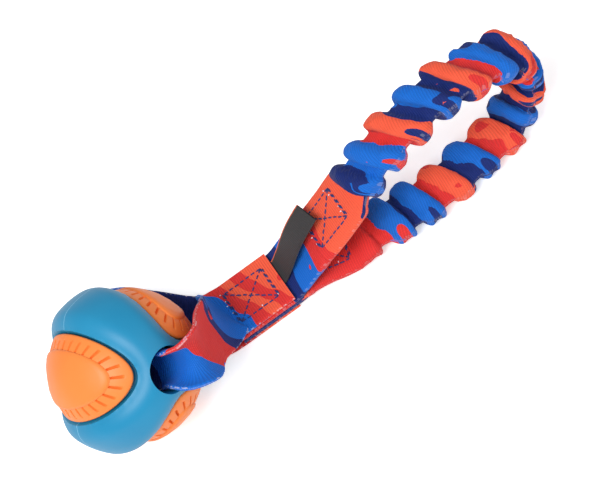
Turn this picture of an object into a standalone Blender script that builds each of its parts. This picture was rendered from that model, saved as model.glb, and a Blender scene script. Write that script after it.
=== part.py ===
# Bungee tug toy: a rubber ball on a webbing strap, with a stretchy webbing handle.
# Units are metres, +Z is up, +X runs from the ball to the grip end of the handle.
# The toy lies on a floor at z = 0, and the origin is under the middle of its box.

import math

import bmesh
import bpy
import numpy as np
from mathutils import Matrix, Vector

# Gap kept between neighbouring pieces
seat_gap = 0.0003

# Webbing
web_width = 0.025
web_thickness = 0.0018
tail_thickness = 0.0024

# Ball shell
ball_radius = 0.0336
rim_drop = 0.0032
rim_slope = 0.0070
strap_hole_radius = 0.0090

# Pads, and the oval recesses in the shell that they fill
pad_sink = 0.0006
pad_depth = 0.0030
pad_edge_drop = 0.0008
pad_gap = 0.0006
disc_border_length = 0.0050
disc_border_width = 0.0058
disc_rise = 0.0008
recess_wall = 0.0018

# Half length and half width of a recess at its rim, in shares of the rim's radius
window_shares = (0.92, 0.5933)

# Sewn patch where the ball strap holds the handle, placed in shares of the ball's radius
patch_length = 0.0235
patch_place_shares = (1.6607, 0.1815)

# Strap cup where it goes through the ball
cup_radius = 0.0068

# Bungee handle
handle_reach = 0.1225
handle_height = 0.0570
tail_stub = 0.0030
elastic_half_width = 0.0055
elastic_half_thickness = 0.0014
sleeve_clearance = 0.0004
sleeve_wall = 0.0018
sleeve_half_width = 0.0096
core_spacing = 0.0074
roll_pitch = 0.0138
roll_height = 0.0020
roll_start = 0.0067
gather_ease = 0.0090
gather_start_upper = 0.0480
gather_start_lower = 0.0320
upper_box_start = 0.0250
lower_box_start = 0.0095
grip_start_upper = 0.0400
grip_start_lower = 0.0200

# Box stitches
box_length = 0.0184
box_width = 0.0150
box_setback = 0.0018
thread_width = 0.0009
thread_height = 0.0005

# Label
label_width = 0.012
label_length = 0.034
label_thickness = 0.0009
label_rise = 0.0040
label_turn = 0.32

# The strap goes straight through the ball along one axis, from the near hole to the far one.
# The three windows stand round that axis, and the first one faces this way.
hole_axis_shares = (0.5003, -0.6839, 0.5311)
first_window_shares = (-0.7189, 0.0138, 0.6950)

# How far a roll of the handle leans across the webbing, as a share of the rolls' pitch
roll_slant_share = 0.34
roll_lag_share = 0.20

# From each hole, the side on which the strap leaves
near_side_shares = (0.962, -0.236, -0.136)
far_side_shares = (0.550, 0.800, 0.200)

rim_radius = ball_radius - rim_drop - pad_sink / 2
pad_top_radius = ball_radius - rim_drop - pad_sink
pad_edge_radius = pad_top_radius - pad_edge_drop
recess_floor = pad_top_radius - pad_depth
hollow_radius = recess_floor - recess_wall
window_half_length = window_shares[0] * rim_radius
window_half_width = window_shares[1] * rim_radius
disc_half_length = window_half_length - pad_gap - disc_border_length
disc_half_width = window_half_width - pad_gap - disc_border_width
patch_x = patch_place_shares[0] * ball_radius
patch_y = patch_place_shares[1] * ball_radius

hole_axis = Vector(hole_axis_shares).normalized()
first_window = Vector(first_window_shares)
first_window = (first_window - hole_axis * first_window.dot(hole_axis)).normalized()
window_axes = [Matrix.Rotation(2 * math.pi * k / 3, 3, hole_axis) @ first_window for k in range(3)]


def clear_scene():
    for item in list(bpy.data.objects):
        bpy.data.objects.remove(item, do_unlink=True)


def make_material(name, colour, roughness):
    material = bpy.data.materials.new(name)
    material.use_nodes = True
    shader = material.node_tree.nodes["Principled BSDF"]
    shader.inputs["Base Color"].default_value = (*colour, 1.0)
    shader.inputs["Roughness"].default_value = roughness
    shader.inputs["Metallic"].default_value = 0.0
    return material


def add_object(name, mesh_data, material, parent):
    item = bpy.data.objects.new(name, mesh_data)
    bpy.context.scene.collection.objects.link(item)
    mesh_data.materials.append(material)
    mesh_data.shade_smooth()
    mesh_data.set_sharp_from_angle(angle=math.radians(35))
    item.parent = parent
    return item


def add_empty(name, place, parent):
    item = bpy.data.objects.new(name, None)
    bpy.context.scene.collection.objects.link(item)
    item.location = place
    item.parent = parent
    return item


def mesh_from(name, points, faces):
    data = bpy.data.meshes.new(name)
    data.from_pydata([tuple(p) for p in points], [], faces)
    data.validate()
    work = bmesh.new()
    work.from_mesh(data)
    bmesh.ops.recalc_face_normals(work, faces=work.faces[:])
    work.to_mesh(data)
    work.free()
    return data


def rings_to_mesh(name, rings, closed_ring=True, caps=True):
    """Skin rows of points, one row for each station, and close both ends."""
    points = [p for ring in rings for p in ring]
    size = len(rings[0])
    faces = []
    for row in range(len(rings) - 1):
        for k in range(size if closed_ring else size - 1):
            a = row * size + k
            b = row * size + (k + 1) % size
            faces.append((a, b, b + size, a + size))
    if caps:
        faces.append(tuple(range(size))[::-1])
        faces.append(tuple((len(rings) - 1) * size + k for k in range(size)))
    return mesh_from(name, points, faces)


def unit(v):
    return v / np.linalg.norm(v)


# Ball shell

def window_frame(axis):
    """Directions along the window, across it and out of it."""
    return np.array(hole_axis), np.array(axis.cross(hole_axis)), np.array(axis)


def oval_direction(axis, half_length, half_width, angle, share=1.0):
    """Direction from the ball's middle to a place on an oval drawn at the rims' radius."""
    along, across, out = window_frame(axis)
    x = share * half_length * math.cos(angle)
    y = share * half_width * math.sin(angle)
    return (along * x + across * y + out * math.sqrt(rim_radius ** 2 - x * x - y * y)) / rim_radius


def turns(count):
    return [2 * math.pi * k / count for k in range(count)]


def shell_surface(name, detail):
    """A ball whose skin rounds down towards the rim of each recess."""
    rims = np.array([[oval_direction(axis, window_half_length, window_half_width, a)
                      for a in turns(90)] for axis in window_axes]).reshape(-1, 3)
    work = bmesh.new()
    bmesh.ops.create_icosphere(work, subdivisions=detail, radius=ball_radius)
    for vert in work.verts:
        direction = unit(np.array(vert.co))
        away = math.acos(min(np.max(rims @ direction), 1)) * rim_radius
        for axis in window_axes:
            along, across, out = window_frame(axis)
            x = np.dot(direction, along) * rim_radius / window_half_length
            y = np.dot(direction, across) * rim_radius / window_half_width
            if np.dot(direction, out) > 0 and math.hypot(x, y) < 1:
                away = 0
        dip = max(1 - away / rim_slope, 0)
        vert.co = direction * (ball_radius - rim_drop * dip * dip)
    data = bpy.data.meshes.new(name)
    work.to_mesh(data)
    work.free()
    return data


def recess_tool(name, axis):
    """A plug with walls that run straight away from the ball's middle."""
    rings = []
    for share in (0.35, 0.7, 1.0):
        rings.append([oval_direction(axis, window_half_length, window_half_width, a, share)
                      * recess_floor for a in turns(60)])
    grown = 1.2 * ball_radius / recess_floor
    rings += [[place * grown for place in ring] for ring in reversed(rings)]
    return rings_to_mesh(name, rings)


def cutter(name, mesh_data, parent):
    item = bpy.data.objects.new(name, mesh_data)
    bpy.context.scene.collection.objects.link(item)
    item.hide_render = True
    item.display_type = "WIRE"
    item.parent = parent
    return item


def cut_away(target, tool):
    change = target.modifiers.new("cut_" + tool.name, "BOOLEAN")
    change.operation = "DIFFERENCE"
    change.solver = "EXACT"
    change.object = tool


def make_shell(parent, material):
    shell = add_object("ball_shell", shell_surface("ball_shell", 5), material, parent)
    work = bmesh.new()
    bmesh.ops.create_icosphere(work, subdivisions=3, radius=hollow_radius)
    hollow = bpy.data.meshes.new("shell_hollow")
    work.to_mesh(hollow)
    work.free()
    cut_away(shell, cutter("shell_hollow", hollow, parent))
    for k, axis in enumerate(window_axes):
        name = "recess_" + str(k)
        cut_away(shell, cutter(name, recess_tool(name, axis), parent))
    along, across, out = window_frame(first_window)
    rings = [[(out * math.cos(a) + across * math.sin(a)) * strap_hole_radius
              + along * side * 1.2 * ball_radius for a in turns(48)] for side in (-1, 1)]
    cut_away(shell, cutter("strap_hole", rings_to_mesh("strap_hole", rings), parent))
    return shell


# Pads bonded in the recesses

def pad_mesh(name, axis, sides=32):
    bottom = recess_floor + seat_gap
    round_edge = 0.5 * (pad_top_radius - pad_edge_radius)
    step = disc_rise
    inside = 1 - pad_gap / window_half_width
    length, width = window_half_length * inside, window_half_width * inside
    disc_top = pad_top_radius + disc_rise

    def oval_row(half_length, half_width, share, radius):
        return [oval_direction(axis, half_length, half_width, a, share) * radius
                for a in turns(sides)]

    rings = [
        oval_row(length, width, 0.3, bottom),
        oval_row(length, width, 0.7, bottom),
        oval_row(length, width, 1.0, bottom),
        oval_row(length, width, 1.0, pad_edge_radius),
        oval_row(length - round_edge, width - round_edge, 1.0, pad_edge_radius + round_edge),
        oval_row(length - 3 * round_edge, width - 3 * round_edge, 1.0, pad_top_radius),
        oval_row(disc_half_length + step, disc_half_width + step, 1.0, pad_top_radius),
        oval_row(disc_half_length, disc_half_width, 1.0, disc_top - 0.2 * step),
        oval_row(disc_half_length - step, disc_half_width - step, 1.0, disc_top),
        oval_row(disc_half_length, disc_half_width, 0.5, disc_top),
        oval_row(disc_half_length, disc_half_width, 0.1, disc_top),
    ]
    return rings_to_mesh(name, rings)


def make_pads(parent, material):
    names = ("pad_front", "pad_lower", "pad_upper")
    for name, axis in zip(names, window_axes):
        add_object(name, pad_mesh(name, axis), material, parent)


# Ball strap

# Places of the strap from the patch to the near hole, and from the far hole to the patch.
# Each is a place and then the way the strap's face looks, with how far it is cupped.
# Places are in shares of the ball's radius from the ball's middle.
front_strand_shares = (
    (1.220, 0.180, -0.672, 0.12, 0.00, 0.99, 0.12),
    (1.160, 0.115, -0.560, 0.66, -0.10, 0.75, 0.45),
    (1.115, -0.068, -0.370, 0.90, -0.20, 0.35, 0.35),
    (1.030, -0.310, -0.020, 0.92, -0.35, 0.15, 0.20),
    (0.925, -0.490, 0.210, 0.85, -0.45, 0.25, 0.30),
    (0.830, -0.620, 0.380, 0.74, -0.58, 0.36, 0.45),
)
back_strand_shares = (
    (-0.180, 0.975, -0.470, -0.18, 0.90, -0.40, 0.40),
    (0.165, 0.920, -0.500, 0.15, 0.86, -0.48, 0.15),
    (0.470, 0.740, -0.595, 0.42, 0.70, -0.56, 0.05),
    (0.745, 0.440, -0.650, 0.60, 0.45, -0.64, 0.05),
    (0.925, 0.262, -0.790, 0.35, 0.20, -0.90, 0.05),
    (1.062, 0.196, -0.906, 0.00, 0.05, -1.00, 0.00),
    (1.190, 0.183, -0.919, 0.00, 0.00, -1.00, 0.00),
)


def strap_stations(ball_middle, patch_top, patch_bottom):
    """Middle of the strap, the way its face looks, and how much it is cupped."""
    axis = np.array(hole_axis)
    middle = np.array(ball_middle)
    left = patch_x - patch_length / 2
    right = patch_x + patch_length / 2
    inner = left + 0.4 * patch_length
    near_side = unit(np.array(near_side_shares) - axis * np.dot(near_side_shares, axis))
    far_side = unit(np.array(far_side_shares) - axis * np.dot(far_side_shares, axis))
    up, down = np.array((0, 0, 1.0)), np.array((0, 0, -1.0))

    def in_ball(level, aside, facing, cupping):
        return (middle + axis * level + aside * cup_radius, unit(facing), cupping)

    mouth = ball_radius + 0.5 * web_thickness
    rows = [((x, patch_y, patch_top), up, 0.0) for x in (right, inner, left)]
    rows += [(middle + ball_radius * np.array(row[:3]), unit(np.array(row[3:6])), row[6])
             for row in front_strand_shares]
    rows += [
        in_ball(mouth, near_side * 1.15, axis - near_side, 0.8),
        in_ball(0.92 * ball_radius, near_side, -near_side, 1.0),
        in_ball(0.72 * ball_radius, near_side, -near_side, 1.0),
        in_ball(0.4 * ball_radius, near_side * 0.5, -near_side, 0.6),
        in_ball(0, near_side * 0, -near_side - far_side, 0.3),
        in_ball(-0.4 * ball_radius, far_side * 0.5, -far_side, 0.6),
        in_ball(-0.72 * ball_radius, far_side, -far_side, 1.0),
        in_ball(-0.92 * ball_radius, far_side, -far_side, 1.0),
        in_ball(-mouth, far_side * 1.15, -axis - far_side, 0.8),
    ]
    rows += [(middle + ball_radius * np.array(row[:3]), unit(np.array(row[3:6])), row[6])
             for row in back_strand_shares]
    rows += [((x, patch_y, patch_bottom), down, 0.0) for x in (left, inner, right)]
    return rows


def band_mesh(name, places, faces_to, cups, width, thickness, cup, across):
    """Flat webbing along a route, bent across its width where it is cupped."""
    rings = []
    floor_limit = np.array((-math.inf, -math.inf, 0))
    count = len(places)
    for k in range(count):
        forward = unit(places[min(k + 1, count - 1)] - places[max(k - 1, 0)])
        side = unit(faces_to[k] - forward * np.dot(faces_to[k], forward))
        wide = np.cross(forward, side)
        bend = cups[k] / cup
        upper, lower = [], []
        lowest = thickness / 2
        for j in range(across + 1):
            s = width * (j / across - 0.5)
            if abs(bend * width) < 0.001:
                spot = places[k] + wide * s
                normal = side
            else:
                angle = bend * s
                spot = places[k] + wide * math.sin(angle) / bend + side * (1 - math.cos(angle)) / bend
                normal = side * math.cos(angle) - wide * math.sin(angle)
            # An edge that would go through the floor lies on it
            spot[2] = max(spot[2], lowest * (1 + abs(places[k][2] - spot[2]) / width))
            upper.append(np.maximum(spot + normal * thickness / 2, floor_limit))
            lower.append(np.maximum(spot - normal * thickness / 2, floor_limit))
        rings.append(upper + lower[::-1])
    return rings_to_mesh(name, rings)


def make_ball_strap(parent, material, ball_middle, patch_top, patch_bottom):
    rows = strap_stations(ball_middle, patch_top, patch_bottom)
    packed = [np.concatenate([np.array(p, float), n, [c]]) for p, n, c in rows]
    # The facing and the cup are eased together with the route
    given = np.array(packed)
    places, reach = ease_rows(given, 76)
    mesh_data = band_mesh("ball_strap", places[:, :3], places[:, 3:6], places[:, 6],
                          web_width, web_thickness, cup_radius, 6)
    add_object("ball_strap", mesh_data, material, parent)
    return reach[-1]


def ease_rows(given, count):
    """Even steps by length along a smooth curve, with other values eased beside it."""
    rows = np.vstack([2 * given[0] - given[1], given, 2 * given[-1] - given[-2]])
    dense = []
    steps = 20
    for k in range(1, len(rows) - 2):
        p0, p1, p2, p3 = rows[k - 1:k + 3]
        for j in range(steps):
            t = j / steps
            route = 0.5 * (2 * p1 + (p2 - p0) * t + (2 * p0 - 5 * p1 + 4 * p2 - p3) * t * t
                           + (3 * p1 - p0 - 3 * p2 + p3) * t ** 3)
            plain = p1 + (p2 - p1) * t
            route[3:] = plain[3:]
            dense.append(route)
    dense.append(rows[-2])
    dense = np.array(dense)
    gaps = np.linalg.norm(np.diff(dense[:, :3], axis=0), axis=1)
    reach = np.concatenate([[0], np.cumsum(gaps)])
    even = np.linspace(0, reach[-1], count)
    return np.stack([np.interp(even, reach, dense[:, k]) for k in range(dense.shape[1])], 1), even


# Handle

# Places along the handle from the patch, out along the top, round the grip and back.
# Along: share of the reach. Aside: share of the webbing width. Up: share of the height.
handle_shares = (
    (0.058, -0.01, 0.170),
    (0.138, -0.04, 0.300),
    (0.218, -0.08, 0.418),
    (0.298, -0.10, 0.545),
    (0.395, -0.11, 0.705),
    (0.490, -0.12, 0.838),
    (0.588, -0.12, 0.930),
    (0.682, -0.12, 0.985),
    (0.772, -0.12, 0.995),
    (0.858, -0.11, 0.970),
    (0.934, -0.10, 0.895),
    (0.988, -0.08, 0.765),
    (1.006, -0.05, 0.560),
    (0.980, -0.04, 0.360),
    (0.934, -0.08, 0.215),
)

# The returning strand lies on the floor: along and aside only
return_shares = (
    (0.880, -0.17),
    (0.790, -0.25),
    (0.650, -0.34),
    (0.530, -0.37),
    (0.390, -0.32),
    (0.310, -0.24),
    (0.210, -0.13),
    (0.130, -0.04),
    (0.060, 0.00),
    (0.020, 0.00),
)


def sleeve_half_thickness():
    return elastic_half_thickness + sleeve_clearance + sleeve_wall


def handle_route(tail_low, tail_high):
    """The whole loop as even steps, with the length from the patch at each step."""
    left = patch_x - patch_length / 2 - tail_stub
    right = patch_x + patch_length / 2
    flat_lie = sleeve_half_thickness() + seat_gap
    rolled_lie = flat_lie + 1.4 * roll_height
    flat_ends = (left, left + 0.6 * patch_length, right - 2 * tail_thickness,
                 right + 0.5 * tail_thickness)
    rows = [(x, patch_y, tail_high) for x in flat_ends]
    for along, aside, up in handle_shares:
        rows.append((right + along * handle_reach, patch_y + aside * web_width,
                     up * handle_height))
    for along, aside in return_shares:
        up = tail_low + (flat_lie - tail_low) * min(along / 0.06, 1)
        up += (rolled_lie - flat_lie) * min(max((along - 0.25) / 0.09, 0), 1)
        rows.append((right + along * handle_reach, patch_y + aside * web_width, up))
    rows += [(x, patch_y, tail_low) for x in reversed(flat_ends)]
    return ease_rows(np.array(rows), 900)


def frame_at(places, k):
    """Forward, outward and sideways directions of the loop at one step."""
    forward = unit(places[min(k + 1, len(places) - 1)] - places[max(k - 1, 0)])
    side = unit(np.array((0, 1.0, 0)) - forward * forward[1])
    return forward, np.cross(forward, side), side


def steps_between(reach, start, end, spacing):
    count = max(int(round((end - start) / spacing)), 1)
    return [int(np.argmin(np.abs(reach - (start + (end - start) * k / count))))
            for k in range(count + 1)]


def flat_strip(name, places, reach, start, end, half_at):
    """A flat tail whose half thickness eases along its length."""
    rings = []
    for k in steps_between(reach, start, end, 1.3 * web_thickness):
        forward, out, side = frame_at(places, k)
        half = half_at(reach[k])
        wide = web_width / 2
        corner = min(half, web_thickness / 2)
        ring = [places[k] + side * wide + out * (half - corner),
                places[k] + side * (wide - corner) + out * half,
                places[k] - side * (wide - corner) + out * half,
                places[k] - side * wide + out * (half - corner),
                places[k] - side * wide - out * (half - corner),
                places[k] - side * (wide - corner) - out * half,
                places[k] + side * (wide - corner) - out * half,
                places[k] + side * wide - out * (half - corner)]
        rings.append(ring)
    return rings_to_mesh(name, rings)


def oval(place, out, side, half_wide, half_thick, sides, power=0.75):
    ring = []
    for k in range(sides):
        a = 2 * math.pi * (k + 0.5) / sides
        c, s = math.cos(a), math.sin(a)
        ring.append(place + side * half_wide * math.copysign(abs(c) ** power, c)
                    + out * half_thick * math.copysign(abs(s) ** power, s))
    return ring


def gather_size(s, start, end):
    """How far the gathering has set in at a place along the loop, from 0 to 1."""
    return min(max((s - start) / gather_ease, 0), 1) * min(max((end - s) / gather_ease, 0), 1)


def sleeve_ring(places, reach, k, gather, sides):
    """One ring of the gathered sleeve: rounded rolls with pinched valleys between."""
    forward, out, side = frame_at(places, k)
    thick = sleeve_half_thickness()
    ring = []
    for place in oval(places[k], out, side, 1.0, 1.0, sides):
        offset = place - places[k]
        across, up = np.dot(offset, side), np.dot(offset, out)
        level = gather_size(reach[k], *gather)
        slant = roll_slant_share * (0.27 + forward[0]) * across - roll_lag_share * forward[0]
        turn = (reach[k] - gather[0] - roll_start) / roll_pitch + slant
        roll = level * roll_height * math.cos(2 * math.pi * turn)
        wide = web_width / 2 + (sleeve_half_width - web_width / 2) * level
        ring.append(places[k] + side * across * (wide + 0.8 * roll)
                    + out * up * (thick + roll_height * 0.4 * level + roll))
    return ring


def sleeve_mesh(name, places, reach, start, end, gather, sides=12):
    """A tube with the elastic's bore inside it, open at both ends."""
    outer = [sleeve_ring(places, reach, k, gather, sides)
             for k in steps_between(reach, start, end, roll_pitch / 8)]
    inner = []
    for k in steps_between(reach, start, end, core_spacing):
        forward, out, side = frame_at(places, k)
        inner.append(oval(places[k], out, side, elastic_half_width + sleeve_clearance,
                          elastic_half_thickness + sleeve_clearance, sides))
    rings = outer + inner[::-1]
    rings.append(rings[0])
    size = sides
    points = [p for ring in rings[:-1] for p in ring]
    faces = []
    total = len(rings) - 1
    for row in range(total):
        below, above = row * size, ((row + 1) % total) * size
        for k in range(size):
            n = (k + 1) % size
            faces.append((below + k, below + n, above + n, above + k))
    return mesh_from(name, points, faces)


def core_mesh(name, places, reach, start, end, sides=10):
    rings = []
    for k in steps_between(reach, start, end, core_spacing):
        forward, out, side = frame_at(places, k)
        rings.append(oval(places[k], out, side, elastic_half_width,
                          elastic_half_thickness, sides))
    return rings_to_mesh(name, rings)


def box_stitch_mesh(name, place, forward, side, out, width):
    """A sewn box with a cross in it, as one flat net of thread."""
    a, b = box_length / 2, width / 2
    t = thread_width
    outer = [(-a, -b), (a, -b), (a, b), (-a, b)]
    slope = math.hypot(a, b)
    along, aside = t * slope / b, t * slope / a
    # Each window is a triangle that stands on one side of the box and points at the middle
    half_along, half_aside = along / 2, aside / 2
    windows = [
        [(-a + t + half_along, -b + t), (a - t - half_along, -b + t), (0, -half_aside)],
        [(a - t, -b + t + half_aside), (a - t, b - t - half_aside), (half_along, 0)],
        [(a - t - half_along, b - t), (-a + t + half_along, b - t), (0, half_aside)],
        [(-a + t, b - t - half_aside), (-a + t, -b + t + half_aside), (-half_along, 0)],
    ]
    flat = outer + [p for window in windows for p in window]
    faces = []
    for k in range(4):
        n = (k + 1) % 4
        first, second, tip = 4 + 3 * k, 5 + 3 * k, 6 + 3 * k
        next_first, next_tip = 4 + 3 * n, 6 + 3 * n
        faces.append((k, n, second, first))
        faces.append((n, next_first, second))
        faces.append((second, next_first, next_tip, tip))
    faces.append((6, 9, 12, 15))
    count = len(flat)
    points = []
    for level in (0, thread_height):
        for x, y in flat:
            points.append(place + forward * x + side * y + out * level)
    solid = [tuple(reversed(f)) for f in faces]
    solid += [tuple(i + count for i in f) for f in faces]
    edges = {}
    for face in faces:
        for i in range(len(face)):
            pair = (face[i], face[(i + 1) % len(face)])
            edges[pair] = edges.get(pair, 0) + 1
    for first, second in edges:
        if (second, first) not in edges:
            solid.append((first, second, second + count, first + count))
    return mesh_from(name, points, solid)


def make_handle(parent, webbing, elastic, thread, tail_low, tail_high):
    rows, reach = handle_route(tail_low, tail_high)
    whole = reach[-1]
    patch = tail_stub + patch_length
    thick = sleeve_half_thickness()
    gather = (patch + gather_start_upper, whole - patch - gather_start_lower)
    tail_ends = (patch + upper_box_start, whole - patch - lower_box_start)
    tip = reach[int(np.argmax(rows[:, 0]))]
    grip = (tip - grip_start_upper, tip + grip_start_lower + 0.5 * grip_start_upper)

    def upper_half(s):
        ease = min(max((s - tail_ends[0] + 4 * thick) / (3 * thick), 0), 1)
        return tail_thickness / 2 + (thick - tail_thickness / 2) * ease

    def lower_half(s):
        ease = min(max((tail_ends[1] + 1.6 * thick - s) / (1.5 * thick), 0), 1)
        return tail_thickness / 2 + (thick - tail_thickness / 2) * ease

    def named(name, mesh_data, material):
        return add_object(name, mesh_data, material, parent)

    gap = seat_gap
    named("upper_tail", flat_strip("upper_tail", rows, reach, 0, tail_ends[0] - gap, upper_half),
          webbing)
    named("lower_tail", flat_strip("lower_tail", rows, reach, tail_ends[1] + gap, whole, lower_half),
          webbing)
    spans = (("upper", tail_ends[0], grip[0] - gap), ("grip", grip[0], grip[1]),
             ("lower", grip[1] + gap, tail_ends[1]))
    for word, start, end in spans:
        named(word + "_sleeve", sleeve_mesh(word + "_sleeve", rows, reach, start, end, gather),
              webbing)
        inset_start = 4 * thread_width if word == "upper" else gap
        inset_end = 4 * thread_width if word == "lower" else gap
        named(word + "_elastic", core_mesh(word + "_elastic", rows, reach, start + inset_start,
                                           end - inset_end), elastic)
    for name, middle, outside in (
            ("upper_box_stitch", tail_ends[0] + box_length / 2 + 2 * thread_width, 1),
            ("lower_box_stitch", tail_ends[1] - box_length / 2 - 2 * thread_width, -1)):
        k = int(np.argmin(np.abs(reach - middle)))
        forward, out, side = frame_at(rows, k)
        place = rows[k] + out * outside * (thick + 3.4 * gap)
        named(name, box_stitch_mesh(name, place, forward, side, out * outside, box_width), thread)
    print("handle webbing length", round(whole, 4))
    return rows, reach, tail_ends, grip


# Label

def make_label(parent, material, rows, reach):
    """A folded ribbon that comes out beside the patch and arches over the upper tail."""
    patch = tail_stub + patch_length
    thick = sleeve_half_thickness()
    outline = []
    for k in steps_between(reach, patch + web_thickness, patch + label_length, label_length / 14):
        forward, out, side = frame_at(rows, k)
        share = (reach[k] - patch) / label_length
        lift = tail_thickness / 2 + seat_gap + label_thickness / 2
        lift += (thick - tail_thickness / 2 + label_rise) * math.sin(0.5 * math.pi * share) ** 1.5
        place = rows[k] + out * lift + side * label_width * (0.16 + 0.26 * share)
        side = side * math.cos(label_turn * share) - forward * math.sin(label_turn * share)
        half, wide = label_thickness / 2, label_width / 2
        outline.append([place + side * wide + out * half, place - side * wide + out * half,
                        place - side * wide - out * half, place + side * wide - out * half])
    return add_object("label", rings_to_mesh("label", outline), material, parent)


def rest_height():
    """How far the ball's lowest point is below its middle."""
    data = shell_surface("rest_probe", 5)
    return -min(vert.co.z for vert in data.vertices)


def settle_on_origin(toy_origin):
    """Bring the middle of the toy's box, seen from above, over the origin."""
    bpy.context.view_layer.update()
    graph = bpy.context.evaluated_depsgraph_get()
    low, high = [math.inf] * 2, [-math.inf] * 2
    for item in bpy.data.objects:
        if item.type == "MESH" and not item.hide_render:
            shown = item.evaluated_get(graph)
            for vert in shown.data.vertices:
                place = shown.matrix_world @ vert.co
                for k in range(2):
                    low[k] = min(low[k], place[k])
                    high[k] = max(high[k], place[k])
    toy_origin.location = (-(low[0] + high[0]) / 2, -(low[1] + high[1]) / 2, 0)
    return toy_origin.location


clear_scene()
blue_rubber = make_material("blue_rubber", (0.03, 0.29, 0.50), 0.45)
orange_rubber = make_material("orange_rubber", (0.95, 0.30, 0.07), 0.5)
camo_webbing = make_material("camo_webbing", (0.85, 0.08, 0.06), 0.8)
cream_elastic = make_material("cream_elastic", (0.75, 0.72, 0.62), 0.8)
navy_thread = make_material("navy_thread", (0.03, 0.05, 0.20), 0.7)
black_ribbon = make_material("black_ribbon", (0.02, 0.02, 0.02), 0.85)

toy_origin = add_empty("toy_origin", (0, 0, 0), None)
ball_height = rest_height()
ball_centre = add_empty("ball_centre", (0, 0, ball_height), toy_origin)
make_shell(ball_centre, blue_rubber)
make_pads(ball_centre, orange_rubber)

lowest_layer = web_thickness / 2
tail_low = web_thickness + seat_gap + tail_thickness / 2
tail_high = tail_low + tail_thickness + seat_gap
highest_layer = tail_high + tail_thickness / 2 + seat_gap + web_thickness / 2
strap_length = make_ball_strap(toy_origin, camo_webbing, (0, 0, ball_height), highest_layer,
                               lowest_layer)
print("ball strap length", round(strap_length, 4))
rows, reach, tail_ends, grip = make_handle(toy_origin, camo_webbing, cream_elastic, navy_thread,
                                           tail_low, tail_high)
patch_top = highest_layer + web_thickness / 2
stitch_place = np.array((patch_x - box_setback, patch_y, patch_top + seat_gap))
stitches = box_stitch_mesh("patch_box_stitch", stitch_place, np.array((1.0, 0, 0)),
                           np.array((0, 1.0, 0)), np.array((0, 0, 1.0)), box_width)
add_object("patch_box_stitch", stitches, navy_thread, toy_origin)
make_label(toy_origin, black_ribbon, rows, reach)
shift = settle_on_origin(toy_origin)
print("moved by", [round(v, 5) for v in shift], "ball height", round(ball_height, 5))
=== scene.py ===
# Bungee tug toy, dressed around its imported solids: rubber ball, printed webbing, gathered handle.
# Lengths are metres. Measures are worked out from the frame and from the webbing's width.

import math

import bmesh
import bpy
import numpy as np
from mathutils import Matrix, Vector, noise


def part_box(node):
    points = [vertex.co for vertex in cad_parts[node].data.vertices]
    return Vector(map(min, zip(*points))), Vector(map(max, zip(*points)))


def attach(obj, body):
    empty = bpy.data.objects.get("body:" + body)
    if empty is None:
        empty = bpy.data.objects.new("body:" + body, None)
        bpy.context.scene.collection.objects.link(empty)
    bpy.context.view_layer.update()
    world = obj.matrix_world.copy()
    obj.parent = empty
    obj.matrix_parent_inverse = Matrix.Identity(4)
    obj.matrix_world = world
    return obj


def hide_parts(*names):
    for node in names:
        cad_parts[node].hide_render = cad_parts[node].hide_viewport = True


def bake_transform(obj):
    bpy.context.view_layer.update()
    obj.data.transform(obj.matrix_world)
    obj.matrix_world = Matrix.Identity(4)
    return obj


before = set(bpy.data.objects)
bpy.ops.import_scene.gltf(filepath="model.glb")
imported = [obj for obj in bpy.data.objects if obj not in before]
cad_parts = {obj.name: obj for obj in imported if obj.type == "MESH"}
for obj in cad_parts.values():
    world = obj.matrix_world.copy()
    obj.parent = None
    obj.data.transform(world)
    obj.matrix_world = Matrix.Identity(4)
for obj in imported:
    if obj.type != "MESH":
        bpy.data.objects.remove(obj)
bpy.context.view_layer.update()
print("frame loaded:", len(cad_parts), "solids")

# Shared measures, as the solids have them
mm = 0.001
webbingWidth = 25 * mm
strapThickness = 1.8 * mm
tailThickness = 2.4 * mm
seatGap = 0.3 * mm
ballRadius = 33.6 * mm
ballHeight = 31.79 * mm
patchLength = 23.5 * mm
patchMiddle = np.array((55.8 * mm, 6.1 * mm))
boxSetback = 1.8 * mm

# The solids were modelled round the ball, so the sewn box says how far the toy was moved
stitchLow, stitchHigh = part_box("patch_box_stitch")
toyShift = np.array([(stitchLow[k] + stitchHigh[k]) / 2 for k in range(3)])
toyShift -= np.array((patchMiddle[0] - boxSetback, patchMiddle[1], toyShift[2]))
ballMiddle = toyShift + np.array((0, 0, ballHeight))


def linearColour(code):
    parts = [int(code[k:k + 2], 16) / 255 for k in (1, 3, 5)]
    return [p / 12.92 if p <= 0.04045 else ((p + 0.055) / 1.055) ** 2.4 for p in parts] + [1.0]


def setInputs(tree, node, values):
    # A value is a number, a colour, a socket, or a node, which stands for its first output
    for name, value in values.items():
        if isinstance(value, bpy.types.Node):
            value = value.outputs[0]
        if isinstance(value, bpy.types.NodeSocket):
            tree.links.new(value, node.inputs[name])
        else:
            node.inputs[name].default_value = value


def addNode(tree, kind, values, **settings):
    node = tree.nodes.new("ShaderNode" + kind)
    for name, value in settings.items():
        setattr(node, name, value)
    setInputs(tree, node, values)
    return node


def newMaterial(name):
    material = bpy.data.materials.new(name)
    material.use_nodes = True
    tree = material.node_tree
    return material, tree, tree.nodes["Principled BSDF"]


def unit(v):
    return v / np.linalg.norm(v, axis=-1, keepdims=True)


def fullTurn(count):
    return np.linspace(0, 2 * math.pi, count, endpoint=False)


def addObject(name, data):
    made = bpy.data.objects.new(name, data)
    bpy.context.scene.collection.objects.link(made)
    return made


def addPiece(name, data, materials):
    for material in materials:
        data.materials.append(material)
    data.shade_smooth()
    return addObject(name, data)


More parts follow.
